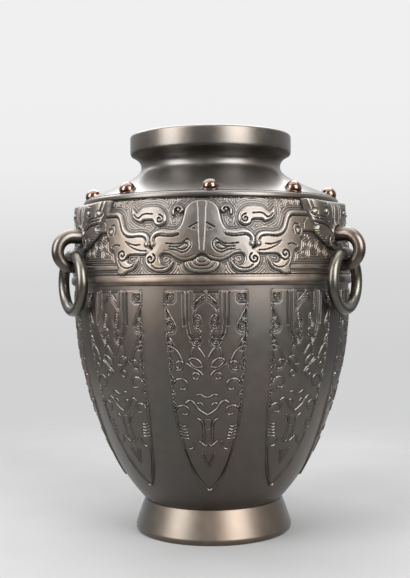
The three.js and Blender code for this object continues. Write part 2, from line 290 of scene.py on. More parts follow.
class Relief:
    """Height over a wall on a grid of places, and how clear each place is of the motifs."""

    def __init__(self, across, up):
        self.across, self.up = across, up
        self.height = np.zeros_like(across)
        self.clear = np.full_like(across, FAR)

    def near(self, low, high):
        """The places within a box."""
        return np.nonzero((self.across > low[0]) & (self.across < high[0])
                          & (self.up > low[1]) & (self.up < high[1]))

    def gap_to(self, line, reach):
        """The places within reach of a line's box, and how far each is from the line."""
        here = self.near(line.min(0) - reach, line.max(0) + reach)
        place = np.stack([self.across[here], self.up[here]], -1).astype(np.float32)
        start, way = line[:-1].astype(np.float32), np.diff(line, axis=0).astype(np.float32)
        square = np.maximum((way ** 2).sum(-1), 1e-9)
        gap = np.full(len(place), FAR, np.float32)
        for a, b, c in zip(start, way, square):
            away = place - a
            share = np.clip((away @ b) / c, 0, 1)[:, None]
            gap = np.minimum(gap, ((away - share * b) ** 2).sum(-1))
        return here, np.sqrt(gap)

    def gap_from(self, centre, reach):
        """The places in a square round a point, and how far each is from it."""
        centre = np.array(centre, float)
        here = self.near(centre - reach, centre + reach)
        return here, np.hypot(self.across[here] - centre[0], self.up[here] - centre[1])

    def inside(self, here, outline):
        """Which of the places lie within a closed line."""
        x, y = self.across[here], self.up[here]
        within = np.zeros(len(x), bool)
        for (x0, y0), (x1, y1) in zip(outline, np.roll(outline, -1, 0)):
            if y0 != y1:
                crosses = (y0 > y) != (y1 > y)
                within ^= crosses & (x < x0 + (y - y0) * (x1 - x0) / (y1 - y0))
        return within

    def stand(self, here, level, gap):
        """Raises places to a level where they are lower, and notes how far they are from the motif."""
        self.height[here] = np.maximum(self.height[here], level)
        self.clear[here] = np.minimum(self.clear[here], gap)

    def shape(self, outline, rise, edge=1.2, dome=0.0):
        """Raises what a closed line holds to a level, with rounded edges and a slightly domed top."""
        here, gap = self.gap_to(np.concatenate([outline, outline[:1]]), SHAPE_REACH)
        within = self.inside(here, outline)
        lift = np.sqrt(1 - (1 - np.clip(gap / edge, 0, 1)) ** 2) + dome * np.clip(gap / DOME_REACH, 0, 1)
        self.stand(here, np.where(within, rise * lift, 0), np.where(within, 0, gap))

    def bead(self, line, width, level):
        """A half-round bead that stands to a level, over the ground too."""
        here, gap = self.gap_to(line, width + GROUND_REACH)
        self.stand(here, level * half_round(gap, width / 2), np.clip(gap - width / 2, 0, None))

    def ball(self, centre, radius, level):
        """A dome that stands to a level."""
        here, gap = self.gap_from(centre, radius + BALL_GROUND_REACH)
        self.stand(here, level * half_round(gap, radius), np.clip(gap - radius, 0, None))

    def seed(self, centre):
        """Makes the lines of the ground wind round a place."""
        here, gap = self.gap_from(centre, SEED_REACH)
        self.clear[here] = np.minimum(self.clear[here], gap + SEED_GAP)

    def rim(self, line, width, rise):
        """Lays a half-round bead on what is there."""
        here, gap = self.gap_to(line, width)
        self.height[here] += rise * half_round(gap, width / 2)

    def groove(self, line, width, depth):
        """Cuts a round-bottomed line."""
        here, gap = self.gap_to(line, width)
        self.height[here] -= depth * half_round(gap, width / 2) ** 2

    def thread(self, line, width, rise, trench=0.5):
        """A thin raised line with a fine trench on both sides."""
        here, gap = self.gap_to(line, 3 * width)
        crest, flank = (np.exp(-(gap / (share * width)) ** 2) for share in (THREAD_CREST, THREAD_FLANK))
        self.height[here] += (rise + trench) * crest - trench * flank

    def sink(self, outline, depth):
        """Lowers what a closed line holds, with short slopes."""
        here, gap = self.gap_to(np.concatenate([outline, outline[:1]]), SINK_SLOPE)
        within = self.near(outline.min(0), outline.max(0))
        share = np.zeros_like(self.height)
        share[within] = self.inside(within, outline)
        share[here] *= np.clip(gap / SINK_SLOPE, 0, 1)
        self.height -= depth * share


def draw_lines(stroke, lines):
    """Draws smooth lines with a stroke: each has a width, a height or depth, and its places."""
    for width, size, *places in lines:
        stroke(curve(*places), width, size)


def blurred(field, cells):
    """A field smoothed over so many cells each way."""
    reach = int(3 * cells) + 1
    weights = np.exp(-0.5 * (np.arange(-reach, reach + 1) / cells) ** 2)
    weights /= weights.sum()
    for axis in (0, 1):
        padded = np.pad(field, [(reach, reach) if k == axis else (0, 0) for k in (0, 1)], mode="edge")
        field = np.apply_along_axis(np.convolve, axis, padded, weights, "valid")
    return field


# Meshes

def mesh_piece(name, points, faces, edge_angle=EDGE_ANGLE, **fields):
    """A mesh object from millimetre points; fields become point attributes for the materials."""
    mesh = bpy.data.meshes.new(name)
    sizes = np.array([len(face) for face in faces])
    order = np.concatenate(faces)
    mesh.vertices.add(len(points))
    mesh.vertices.foreach_set("co", (points * MM).astype(np.float32).ravel())
    mesh.loops.add(len(order))
    mesh.loops.foreach_set("vertex_index", order.astype(np.int32))
    mesh.polygons.add(len(sizes))
    mesh.polygons.foreach_set("loop_start", np.r_[0, np.cumsum(sizes)[:-1]].astype(np.int32))
    mesh.update(calc_edges=True)
    mesh.validate()
    for field, values in fields.items():
        mesh.attributes.new(field, "FLOAT", "POINT").data.foreach_set("value", values.astype(np.float32))
    mesh.polygons.foreach_set("use_smooth", np.ones(len(sizes), bool))
    mesh.set_sharp_from_angle(angle=math.radians(edge_angle))
    piece = bpy.data.objects.new(name, mesh)
    bpy.context.scene.collection.objects.link(piece)
    return piece


def grid_faces(rows, columns, wrap_rows, wrap_columns):
    """Quads of a grid of points that may close on itself both ways."""
    row = np.arange(rows if wrap_rows else rows - 1)[:, None]
    column = np.arange(columns if wrap_columns else columns - 1)[None, :]
    below, beside = (row + 1) % rows, (column + 1) % columns
    row, below = row * columns, below * columns
    loop = [row + column, row + beside, below + beside, below + column]
    return np.stack([np.broadcast_to(c, (len(row), column.size)).ravel() for c in loop], -1)


def bar_faces(rows, columns, closed):
    """Faces of a bar made of so many rings, joined end to end or capped at both ends."""
    last = (rows - 1) * columns
    caps = [] if closed else [range(columns)[::-1], range(last, last + columns)]
    return [*grid_faces(rows, columns, closed, True), *caps]


def at_azimuth(radius, azimuth, z):
    """Places at a distance from the axis, at an azimuth in radians from the front."""
    return np.stack(np.broadcast_arrays(radius * np.sin(azimuth), -radius * np.cos(azimuth), z), -1)


def spun(outline, sides):
    """An outline of radius and height turned round, and how far along it each point is."""
    points = at_azimuth(outline[:, None, 0], full_turn(sides), outline[:, None, 1])
    return points.reshape(-1, 3), np.repeat(walked(outline) * MM, sides)


def turned_piece(name, outline):
    """A closed outline, anticlockwise as seen with the axis on the left, turned round."""
    points, lathe = spun(outline, TURNED_SIDES)
    return mesh_piece(name, points, bar_faces(len(outline), TURNED_SIDES, True), lathe=lathe)


def knob_piece(name, outline, sides, place=lambda points: points):
    """A solid turned about its own axis, from a line that runs from the axis below to the axis above."""
    points, lathe = spun(outline, sides)
    return mesh_piece(name, place(points), bar_faces(len(outline), sides, False), lathe=lathe)


def swept_piece(name, path, radius, normal, closed=False):
    """A round bar along a flat path in space, whose plane has that normal."""
    along = np.roll(path, -1, 0) - np.roll(path, 1, 0) if closed else np.gradient(path, axis=0)
    along /= np.linalg.norm(along, axis=1, keepdims=True)
    radius = np.broadcast_to(radius, len(path))[:, None]
    turn = full_turn(BAR_SIDES)[:, None]
    section = np.cos(turn) * normal + np.sin(turn) * np.cross(along, normal)[:, None]
    points = (path[:, None] + radius[..., None] * section).reshape(-1, 3)
    around = np.abs(turn.T - math.pi) * radius * MM
    faces = bar_faces(len(path), BAR_SIDES, closed)
    return mesh_piece(name, points, faces, BAR_EDGE_ANGLE, lathe=around.ravel())


def border(low, left, high, right):
    """The places round a block of a grid, as rows and columns."""
    return [*((low, c) for c in range(left, right)), *((r, right) for r in range(low, high)),
            *((high, c) for c in range(right, left, -1)), *((r, left) for r in range(high, low, -1))]


def coarse_back(rows, columns):
    """Faces of a back whose edge has every point of the front's edge and whose inside has few."""
    number, faces = {}, []
    edge = set(border(0, 0, rows - 1, columns - 1))
    for low in range(0, rows - 1, INSIDE_STEP):
        for left in range(0, columns - 1, INSIDE_STEP):
            block = border(low, left, low + INSIDE_STEP, left + INSIDE_STEP)
            loop = [(r, c) for r, c in block if (r, c) in edge or r % INSIDE_STEP == c % INSIDE_STEP == 0]
            faces.append([number.setdefault(place, rows * columns + len(number)) for place in reversed(loop)])
    return faces, number


def shell_patch(name, front, back, **fields):
    """A closed piece: a fine front, a back with few faces, and flat sides between their edges."""
    rows, columns = front.shape[:2]
    faces, number = coarse_back(rows, columns)
    edge = border(0, 0, rows - 1, columns - 1)
    fore = [r * columns + c for r, c in edge]
    aft = [number[place] for place in edge]
    sides = [[fore[k], fore[k - 1], aft[k - 1], aft[k]] for k in range(len(edge))]
    places = tuple(np.array(list(number)).T)
    points = np.concatenate([front.reshape(-1, 3), back[places]])
    values = {key: np.r_[field.ravel(), field[places]] for key, field in fields.items()}
    faces = [*grid_faces(rows, columns, False, False), *sides, *faces]
    return mesh_piece(name, points, faces, PATCH_EDGE_ANGLE, **values)


# The frieze: one beast face with a dragon on each side, drawn for its right half
# and mirrored. Places are millimetres from the middle of the face, and height.

JAW_RISE = 1.6
FACE_RISE = 1.7
NOSE_RISE = 2.5
HORN_RISE = 1.8
DRAGON_RISE = 1.6
EYE_RADIUS = 2.7
FACE_OUTLINE = curve(
    (-3, 243.6), (1, 243.4), (5, 242.8), (9, 240.8), (11.8, 237.5), (13, 232.5), (14.3, 227.5), (17, 223.8),
    (22, 223.3), (27, 224.2), (31.5, 223.2), (35, 220.2), (36.6, 216.2), (35.4, 212.2), (34, 210.4),
    (36.5, 208.8), (39, 205.5), (39, 201.5), (36.5, 197.8), (32, 195.3), (27, 194.6), (22.5, 195.6),
    (19.8, 198.5), (19, 202.8), (21.3, 200.8), (24.5, 199.4), (27, 200.6), (28, 203.6), (27, 206.2),
    (24.5, 207), (21, 206.2), (17.5, 204), (13, 202.1), (9, 202.1), (5, 203.6), (2, 206.3), (-3, 207.5))
NOSE_OUTLINE = curve((-3, 243.2), (3.6, 242.2), (3.4, 236), (3.1, 226), (2.4, 214), (1.6, 208), (-3, 206.6))
JAW_OUTLINE = curve(
    (-3, 206), (2, 205), (6, 202.8), (11.2, 201.4), (11, 198), (7.8, 195.3), (3, 194.3), (-3, 194.2))
HORN_OUTLINE = curve(
    (53.4, 239.6), (53.3, 234.5), (51, 231), (47, 228.8), (43.7, 228.2), (42.2, 229.6), (38, 229.8),
    (35.2, 229.4), (34, 227.2), (31.5, 225.8), (28.5, 225.7), (26, 227.2), (24.9, 230), (25.5, 233.6),
    (28, 237), (32, 239.1), (38, 239.5), (44, 238.7), (47, 236.5), (48.7, 235.4), (50.3, 236.8))
DRAGON_OUTLINE = curve(
    (35, 214), (36.3, 218), (38.5, 221.2), (43, 222.4), (50, 222.2), (54.8, 223.4), (57.8, 226.7),
    (59.8, 231), (62, 234.6), (66, 236.7), (73, 237.1), (82, 237.4), (90, 237), (91, 229), (88, 222.8),
    (78, 222.3), (74.5, 221.5), (74.8, 219), (71.8, 217.2), (71.2, 214), (70, 211), (65.8, 208.9),
    (64.2, 205), (62.4, 201), (60.6, 198), (61.4, 194.6), (58.5, 193.1), (55, 193.4), (52.4, 195),
    (48.5, 196), (45.5, 199), (44.6, 204), (47.2, 201.9), (50.8, 201.2), (53, 203), (52.6, 205.6),
    (50, 206.5), (45, 206.5), (40, 206.4), (35.5, 207.4), (33.5, 209.6), (35.6, 211.2))
STRIP_RISE = 0.9
STRIP_OUTLINE = straight((60, 196.4), (130, 196.4), (130, 199.7), (60, 199.7))
BORDER_LEVELS = (FRIEZE_Z + 1.3, LIP_Z - 0.6)
RELIEF_LOW_Z = FRIEZE_Z + 0.2
GROUND_LOW_Z = FRIEZE_Z + 1.6
GROUND_PITCH = 1.6
GROUND_DEPTH = 0.42
GROUND_FADE = (0.4, 0.5)
GROUND_SEEDS = [(44.2, 227.4), (60, 241), (72, 243), (19.6, 243.2), (77.7, 219.7), (74.4, 208), (84, 212.6),
                (92.6, 208.8), (101, 206.4), (19.6, 229.2)]


def draw_face(relief):
    relief.shape(JAW_OUTLINE, JAW_RISE)
    draw_lines(relief.groove, [
        (1.0, 0.7, (-1, 196.5), (4, 196.9), (7.2, 198.4), (8.8, 201)),
        (1.0, 0.7, (-1, 198.8), (3, 199.1), (5.4, 200.6), (6, 202.4)),
        (1.0, 0.7, (-1, 201), (2.2, 201.5), (3, 203)),
    ])
    relief.shape(FACE_OUTLINE, FACE_RISE, edge=1.5, dome=0.16)
    relief.shape(NOSE_OUTLINE, NOSE_RISE, edge=1.0)
    brow = curve((16, 221.3), (22, 220.8), (27, 221.5), (31.5, 220.9), (34.2, 218.3), (34.6, 215.4))
    relief.rim(brow, 2.4, 0.5)
    draw_lines(relief.groove, [
        (1.0, 0.9, (15.5, 219.4), (20, 218.4), (25, 218.7), (29.5, 219.1), (32.2, 217.6), (32.4, 215.4)),
        (1.1, 1.1, (3.4, 227.2), (6, 225.8), (8.8, 224)),
        (1.0, 0.6, (4.4, 222.6), (5.6, 223.8), (6.6, 223)),
    ])
    relief.ball((33.4, 213.5), EYE_RADIUS, EYE_RADIUS)
    draw_lines(relief.groove, [
        (1.0, 0.9, (24, 213.8), (18, 213.2), (14, 213.6), (11.5, 215.2), (9.3, 216.6), (7.4, 214.6),
         (7.3, 211.5), (9.5, 208.6), (13, 207.6), (17, 209.3), (21.5, 209.8)),
        (1.0, 0.9, (21.5, 211.6), (16, 211.4), (13.4, 212.4), (11, 214.2), (9.2, 213), (9.8, 210.8),
         (13, 209.6), (16.5, 210.6)),
        (0.8, 0.35, (4.5, 206.2), (8.5, 204.5), (13, 204.4), (17, 206.2), (21, 208.4), (25, 209)),
        (1.0, 0.9, (21, 202.2), (22, 199), (26, 197.2), (30.5, 197.3), (33.5, 199.4)),
    ])
    relief.groove(spiral((10.6, 212.9), 1.4, 1), 0.7, 0.5)
    relief.groove(spiral((34.6, 203.6), 3.6, 1.3, start=120), 1.2, 1.6)
    comma = curve((20.2, 233.6), (20.2, 236.4), (18, 238.6), (15, 238.3), (13.8, 236.4), (15.2, 234.9))
    relief.bead(comma, 2.0, 1.9)
    relief.ball((16.8, 236.4), 1.3, 2.0)


def draw_horn(relief):
    relief.shape(HORN_OUTLINE, HORN_RISE, edge=1.7, dome=0.2)
    middle = curve((50.6, 234), (48, 231.7), (45.6, 231.5), (44, 233), (41.5, 234), (35.5, 233.9))
    relief.groove(middle, 1.1, 1.0)
    relief.groove(spiral((29.8, 230.2), 3.0, 1.3, start=80), 1.1, 1.3)


def draw_dragon(relief):
    relief.shape(DRAGON_OUTLINE, DRAGON_RISE, edge=1.5, dome=0.16)
    crest = curve((36.6, 215.5), (38.3, 218.8), (42, 220.4), (46, 220.6), (51, 220.4), (55.5, 221.5),
                  (58.6, 224.7), (60.5, 228.6), (62.6, 232.2), (66, 234.6), (72, 235.1), (84, 235.3))
    under = curve((39.2, 216.4), (41, 218.3), (46, 218.7), (52, 218.4), (56, 219.6), (59.4, 222.8),
                  (61.4, 226.5), (63.1, 230), (65.9, 232.3), (70, 232.8), (84, 232.9))
    relief.rim(crest, 2.4, 0.5)
    relief.groove(under, 1.0, 0.9)
    relief.ball((37.8, 213.5), EYE_RADIUS, EYE_RADIUS)
    draw_lines(relief.groove, [
        (0.9, 0.8, (55, 215.4), (50.5, 213.8), (47, 213), (43, 213.2)),
        (0.9, 0.8, (54, 214.4), (50, 211.7), (44, 209.5), (38, 208.9)),
        (0.9, 0.8, (79, 231), (76, 228), (75.4, 224.5)),
        (0.9, 0.8, (66, 220.6), (65.4, 224.4), (67.6, 227.2), (71, 226.8)),
        (0.9, 0.8, (60, 213), (64, 213.6), (67, 212.2)),
        (0.9, 0.8, (46.4, 201.4), (48.6, 198.6), (53, 197.6), (57.5, 199.2), (60, 202.6)),
    ])
    relief.groove(spiral((57.3, 206.6), 4.4, 1.4, start=200), 1.2, 1.3)
    relief.groove(arc((70.2, 222.6), 2.4), 0.9, 0.9)
    relief.ball((70.2, 222.6), 1.5, 2.3)


def draw_frieze(across, up):
    """The frieze's height over the wall, in millimetres."""
    relief = Relief(np.abs(across), up)
    relief.shape(STRIP_OUTLINE, STRIP_RISE, edge=0.7)
    draw_horn(relief)
    draw_dragon(relief)
    draw_face(relief)
    for centre in GROUND_SEEDS:
        relief.seed(centre)
    beside, above = GROUND_FADE
    shown = np.clip(relief.clear / beside, 0, 1) * np.clip((up - GROUND_LOW_Z) / above, 0, 1)
    relief.height -= shown * GROUND_DEPTH * ripple(relief.clear, GROUND_PITCH)
    for level in BORDER_LEVELS:
        relief.groove(straight((-1, level), (130, level)), 0.9, 0.7)
    return np.where(up > RELIEF_LOW_Z, relief.height, 0)


# The blades on the belly: right half of one blade, mirrored

BLADE_RISE = 0.35
BLADE_OUTLINE = chain((-3, 182.4), (27, 182.4), curve(
    (27, 165), (26.8, 145), (26.3, 125), (25.3, 105), (23.8, 90), (20.8, 75), (16.5, 60), (10.5, 50),
    (3.5, 42.5), (0, 41.2), (-3, 41.2)))
BLADE_BORDER = [(26, 182), (26, 165), (25.8, 145), (25.3, 125), (24.3, 105), (22.8, 90), (19.8, 75),
                (15.6, 60), (9.8, 50.6), (3.2, 43.6), (0, 42.4)]
BLADE_TIP = BLADE_BORDER[4:]


def draw_blade_recesses(relief):
    """The dark, lowered places between the lines."""
    relief.sink(straight((20.8, 180.4), (25.6, 180.4), (25.6, 175.2), (21.8, 175.2), (20.8, 176.4)), 0.5)
    for depth, *places in (
            (0.6, (26.2, 172.4), (24.9, 168.6), (23.4, 164.6), (24.4, 163.4), (26.2, 163.6)),
            (0.55, (26.2, 153.4), (24.6, 152.6), (23.6, 150), (24, 148), (26, 147.6)),
            (0.5, (3.2, 154.4), (6.6, 152.6), (11.4, 154), (10.8, 150.6), (6.4, 150.4), (3, 151.4)),
            (0.45, (25, 142.4), (23.6, 140), (22.8, 134), (23.6, 128.6), (25, 127.4)),
            (0.28, (21, 73.4), (18.6, 73.4), (16.4, 66.6), (13, 59.4), (9.6, 53.2), (11.4, 53), (16, 60.6),
             (19.4, 68.4))):
        relief.sink(curve(*places), depth)
    relief.groove(straight((14.9, 180.8), (14.9, 166.0), (14.6, 159.0)), 1.4, 0.6)
    for x in (2.4, 4.2):
        relief.groove(curve((x + 1, 94), (x, 90), (x, 82), (x + 0.6, 78.6)), 0.9, 0.5)


def draw_blade_border(relief):
    """The line inside the blade's edge, the bolder ones at its tip, and the notches in its sides."""
    relief.thread(curve(*BLADE_BORDER), 0.7, 0.3)
    relief.thread(curve(*BLADE_TIP), 0.9, 0.6, 0.15)
    relief.thread(curve((18.4, 74), (16.2, 67), (13, 60), (9.4, 53.6), (6, 49.6)), 0.8, 0.45, 0.3)
    relief.thread(curve((5.2, 70.6), (3.2, 65.4), (0.6, 60.2), (0, 59.8)), 0.9, 0.7, 0.3)
    relief.thread(curve((3.2, 70.6), (1.8, 66.6), (0, 63.4)), 0.8, 0.5, 0.3)
    for y, half in ((133.5, 4), (122, 4.5), (112.5, 3), (104, 3.4)):
        x = 22.8 + 0.03 * (y - 110)
        draw_lines(relief.thread, [
            (0.8, 0.45, (x + 1.6, y + half), (x, y + 0.4 * half), (x - 0.9, y), (x, y - 0.4 * half),
             (x + 1.6, y - half)),
            (0.7, 0.4, (x - 0.2, y), (x + 2, y)),
        ])


def draw_blade_top(relief):
    """The curls, drops and eyes in the blade's upper third."""
    box = straight((20.2, 181), (26, 181), (26, 174.6), (21.4, 174.6), (20.2, 176), (20.2, 181))
    relief.thread(box, 0.8, 0.45)
    relief.thread(spiral((23.2, 177.8), 2.2, 1.4, start=90), 0.8, 0.45)
    relief.thread(straight((1.2, 181.6), (8, 181.6), (8, 172)), 0.8, 0.45)
    draw_lines(relief.thread, [
        (0.9, 0.5, (13.4, 181.4), (13.4, 168), (13.2, 160), (12.4, 154.4), (10.4, 149.6)),
        (0.8, 0.45, (11.4, 181.4), (11.4, 168), (11.2, 161), (10.6, 156), (9.8, 152.4)),
        (0.8, 0.45, (7.4, 170.4), (8.4, 166), (8.4, 160), (7.4, 156.4)),
        (0.8, 0.45, (4.6, 156.4), (3.4, 154.8), (4.2, 153), (3.8, 151)),
        (0.8, 0.5, (2.8, 150), (9.8, 150)),
        *((0.75, 0.5, (0.6 + 0.3 * gap, 176 + gap), (3.6, 174.4 + 0.95 * gap), (7.4, 170.4 + gap))
          for gap in (0, 1.7, 3.4)),
    ])
    for x, y, width, height in ((23.6, 160.5, 3.6, 7), (23.9, 147, 2.6, 4.4)):
        drop = curve((x + 2.4, y + 1.6 * height), (x - 0.4 * width, y + 0.5 * height),
                     (x - width, y - 0.2 * height), (x - 0.6 * width, y - 0.8 * height),
                     (x + 1.6, y - 0.9 * height))
        relief.thread(drop, 0.8, 0.5)
        for share in (0.68, 0.36):
            relief.thread(arc((x, y - 0.15 * height), share * width, 20, 340, tall=1.2), 0.7, 0.45)
    for share in (1, 0.62, 0.28):
        relief.thread(arc((5.4, 161.6), 2.2 * share, tall=2.2, count=28), 0.75, 0.5)
    for share in (1, 0.66, 0.34):
        relief.thread(arc((6.3, 150), 3.5 * share, 180, 360, tall=1.4), 0.75, 0.5)


def draw_blade_scrolls(relief):
    """The scrolls, rings and rungs below."""
    draw_lines(relief.thread, [
        (1.0, 0.55, (1.3, 138), (3.2, 141.4), (5.4, 144.4)),
        (1.0, 0.55, (10, 137.6), (9.8, 141), (8.6, 144.4)),
        (1.0, 0.55, (25, 145.2), (22, 144.2), (19, 141.4), (17, 137.4), (15.8, 133), (17.2, 129.6),
         (20, 129)),
        (0.95, 0.55, (3, 131.3), (4.5, 134.9), (8, 137.2), (11.4, 136.2), (10.2, 133.2), (7, 131.1),
         (3, 131.3)),
        (0.95, 0.5, (13.4, 133.6), (9, 130.8), (5, 128.4), (2.8, 125.8)),
        (0.9, 0.5, (-1, 110.6), (0, 110.6), (2.5, 111.2), (4.6, 112.6), (7, 112.2)),
        (1.0, 0.55, (15.4, 106.6), (12.4, 108.4), (9.2, 106.4), (7, 103), (3.5, 100.2), (0, 98.4),
         (-1, 98.6)),
        (0.9, 0.5, (3, 104.8), (4.8, 106.7), (7, 106.3)),
        (1.0, 0.55, (3.4, 90.8), (5, 94), (7.4, 95.8)),
        (0.95, 0.5, (15.6, 73.6), (12.6, 74.4), (10.8, 76.8), (10.6, 79.4)),
        (1.0, 0.55, (-0.6, 78.6), (1.6, 76.2), (4, 77), (7, 79.4)),
        *((0.7, 0.35, (0, y), (1.8, y)) for y in (95, 88, 80.5)),
        *((0.75, 0.5, (14.6 + 0.5 * k, 81.5 + 2.2 * k), (17.6 + 0.4 * k, 81.2 + 2.2 * k),
           (21.4 + 0.1 * k, 82.2 + 2.2 * k)) for k in range(5)),
    ])
    relief.thread(arc((17.9, 132.6), 2.6, 150, -70), 0.9, 0.5)
    relief.thread(arc((7.5, 125.2), 2.2), 0.85, 0.5)
    for y, radius in ((119.4, 3.4), (101.4, 2.9)):
        relief.thread(curve((23, y + 1), (20.6, y + radius), (17, y + radius + 0.4), (14.2, y + 0.6 * radius),
                            (13.6, y - 0.6), (15.4, y - radius), (18.2, y - radius + 0.3)), 0.95, 0.55)


def draw_blade(across, up):
    """The height of one blade and its line work over the belly, in millimetres."""
    relief = Relief(np.abs(across), up)
    relief.shape(BLADE_OUTLINE, BLADE_RISE, edge=0.5)
    for draw_part in (draw_blade_recesses, draw_blade_border, draw_blade_top, draw_blade_scrolls):
        draw_part(relief)
    return relief.height


# The turned outline's lines, from the foot up

BELLY_LINE = chain(rising((FOOT_WAIST_RADIUS, BODY_FOOT_Z), (BELLY_RADIUS, BELLY_Z), BELLY_RISE),
                   (BELLY_RADIUS, BAND_Z))
BAND_MIDDLE = (BAND_RADIUS, BAND_Z + BAND_HEIGHT / 2)
BAND_LINE = chain(quarter((BELLY_RADIUS, BAND_Z), BAND_MIDDLE, "across"),
                  quarter(BAND_MIDDLE, (FRIEZE_FOOT_RADIUS, FRIEZE_Z), "up"))
FRIEZE_LINE = bezier(
    (FRIEZE_FOOT_RADIUS, FRIEZE_Z),
    ((FRIEZE_FOOT_RADIUS + FRIEZE_TOP_RADIUS) / 2 + 2 * FRIEZE_BULGE, (FRIEZE_Z + LIP_Z) / 2),
    (FRIEZE_TOP_RADIUS, LIP_Z))
SHOULDER_LINE = rising((FRIEZE_TOP_RADIUS, SHOULDER_Z), (NECK_RADIUS, NECK_Z), SHOULDER_RISE)


def wall_radius(z):
    """The plain outside of the frieze wall at a height."""
    return np.interp(z, FRIEZE_LINE[:, 1], FRIEZE_LINE[:, 0])


def raised(line, height):
    """A turned line moved outwards, square to itself, by a height at each point and column."""
    out = -left_normals(line)
    return line[:, None, 0] + height * out[:, None, 0], line[:, None, 1] + height * out[:, None, 1]


def wear_of(height, grid=RELIEF_GRID):
    """How far each place stands over its surroundings: edges and crests are worn, hollows get dirt and
    painted shade.
    """
    return np.clip((height - blurred(height, WEAR_AND_SHADE_REACH / grid)) / WEAR_AND_SHADE_HEIGHT, -1, 1)


# The masks that the handles come out of: across is from the keel, up is the height, out is from the axis

MASK_TOP_Z = LIP_Z - SEAT
MASK_BOTTOM_Z = MASK_TOP_Z - 35.2
MASK_JAW_Z = MASK_TOP_Z - 16
MASK_JAW_FADE = 6
MASK_HALF = 31
MASK_OUTLINE = curve(
    (4.5, MASK_BOTTOM_Z), (9.6, 211.6), (14, 213.9), (18.6, 217.3), (22.8, 220.8), (25.3, 223.9),
    (24.2, 226.7), (27.3, 230.2), (29.4, 235), (30.4, 241), (MASK_HALF, MASK_TOP_Z), step=0.4)
MASK_KEEL = wall_radius(LOOP_HIGH_Z) + 4.4
MASK_FRONT = MASK_KEEL + 0.4
MASK_EDGE = math.sqrt(FRIEZE_TOP_RADIUS ** 2 - MASK_HALF ** 2) + 4.2
MASK_ABOVE = bezier((0, MASK_FRONT), (MASK_HALF - 5.5, MASK_KEEL - 0.6), (MASK_HALF, MASK_EDGE))
MASK_SIDE = chain(
    bezier((wall_radius(MASK_BOTTOM_Z) + 1.6, MASK_BOTTOM_Z), (MASK_KEEL, MASK_BOTTOM_Z),
           (MASK_FRONT, MASK_BOTTOM_Z + 5)),
    bezier((MASK_FRONT, MASK_TOP_Z - 9), (MASK_KEEL, MASK_TOP_Z), (LIP_RADIUS, MASK_TOP_Z)))
MASK_COLUMNS = 204
MASK_ROWS = 132
MASK_SINK = 1.4
MASK_BEVEL = (1.4, 3.0)
MASK_LEAST = 0.6
MASK_SQUARE_EDGE = 0.12
SNOUT_RISE, SNOUT_GAP, SNOUT_WIDTH = 1.1, 1.2, 1.3
RIM_RISE, RIM_GAP, RIM_WIDTH = 0.3, 0.5, 0.8
HATCH_PITCH, HATCH_DEPTH = 1.7, 0.5
MASK_EYES = [((25.2, 236.2), 1.9, 1.2), ((14.2, 236.8), 1.8, 1.1)]
MASK_CURLS = [((13.4, 217.0), 1.1, 3.4), ((8.6, 213.4), 0.9, 3.0)]


def mask_half(up):
    """Half the mask's width at a height."""
    return np.interp(up, MASK_OUTLINE[:, 1], MASK_OUTLINE[:, 0])


def carve_mask(relief):
    """The lines, eyes and curls of the mask, over its smooth form."""
    draw_lines(relief.groove, [
        (1.3, 1.0, (29, 229.4), (24, 228.8), (16, 227.4), (9.6, 224.2), (7.2, 220), (6.8, 216.6)),
        (1.1, 0.7, (20.4, 233.4), (16, 232.6), (11.6, 230.2)),
        (1.1, 0.7, (24.6, 231.8), (17, 230.6), (6.4, 225.2)),
        (1.2, 0.7, (27.8, 244.6), (26.2, 240), (24.4, 235.6), (21.8, 232.6)),
        (1.2, 0.6, (2.8, 244), (3.4, 236), (3.6, 228)),
        (1.2, 0.6, (6.4, 244), (6.6, 238), (6.0, 233)),
        (0.9, 0.5, (20.6, 243.6), (17, 242), (12, 242.4), (9, 244)),
        (1.0, 0.6, (9.4, 219), (10.6, 216), (9.6, 213.4)),
    ])
    draw_lines(relief.rim, [
        (1.6, 0.35, (27.4, 231.0), (22, 230.4), (15, 229), (8.4, 226)),
        (1.3, 0.5, (30, 244.6), (28.2, 239.4), (26.4, 234.6), (24.2, 231.6)),
    ])
    for centre, radius, rise in MASK_EYES:
        relief.groove(arc(centre, radius + 0.6), 1.1, 0.5)
        here, gap = relief.gap_from(centre, radius)
        relief.height[here] += rise * half_round(gap, radius)
    for centre, radius, width in MASK_CURLS:
        relief.rim(arc(centre, radius), width, 0.5)
    from_snout = np.hypot(relief.across, relief.up - LOOP_HIGH_Z) - LOOP_ROOT / 2
    relief.height += SNOUT_RISE * np.exp(-((from_snout - SNOUT_GAP) / SNOUT_WIDTH) ** 2)


def draw_mask(across, up, wall):
    """How far from the axis the mask stands, in millimetres."""
    relief = Relief(np.abs(across), up)
    carve_mask(relief)
    from_edge = mask_half(up) - relief.across
    jaw = np.clip((MASK_JAW_Z - up) / MASK_JAW_FADE, 0, 1)
    bevel = MASK_BEVEL[0] + jaw * (MASK_BEVEL[1] - MASK_BEVEL[0])
    edge = np.clip(from_edge / bevel, 0, 1)
    relief.height += RIM_RISE * (1 - 0.5 * jaw) * np.exp(-((from_edge - bevel - RIM_GAP) / RIM_WIDTH) ** 2)
    hatch = jaw * np.clip(1 - np.abs(2 * edge - 1), 0, 1) * (1 - ripple(up, HATCH_PITCH))
    above = np.interp(relief.across, MASK_ABOVE[:, 0], MASK_ABOVE[:, 1])
    side = np.interp(up, MASK_SIDE[:, 1], MASK_SIDE[:, 0])
    front = -np.logaddexp(-above, -side) + relief.height - HATCH_DEPTH * hatch
    behind = np.sqrt(wall ** 2 - relief.across ** 2)
    share = MASK_SQUARE_EDGE + (1 - MASK_SQUARE_EDGE) * np.sqrt(1 - (1 - edge) ** 2)
    return behind + np.clip(front - behind, MASK_LEAST, None) * share


# Materials

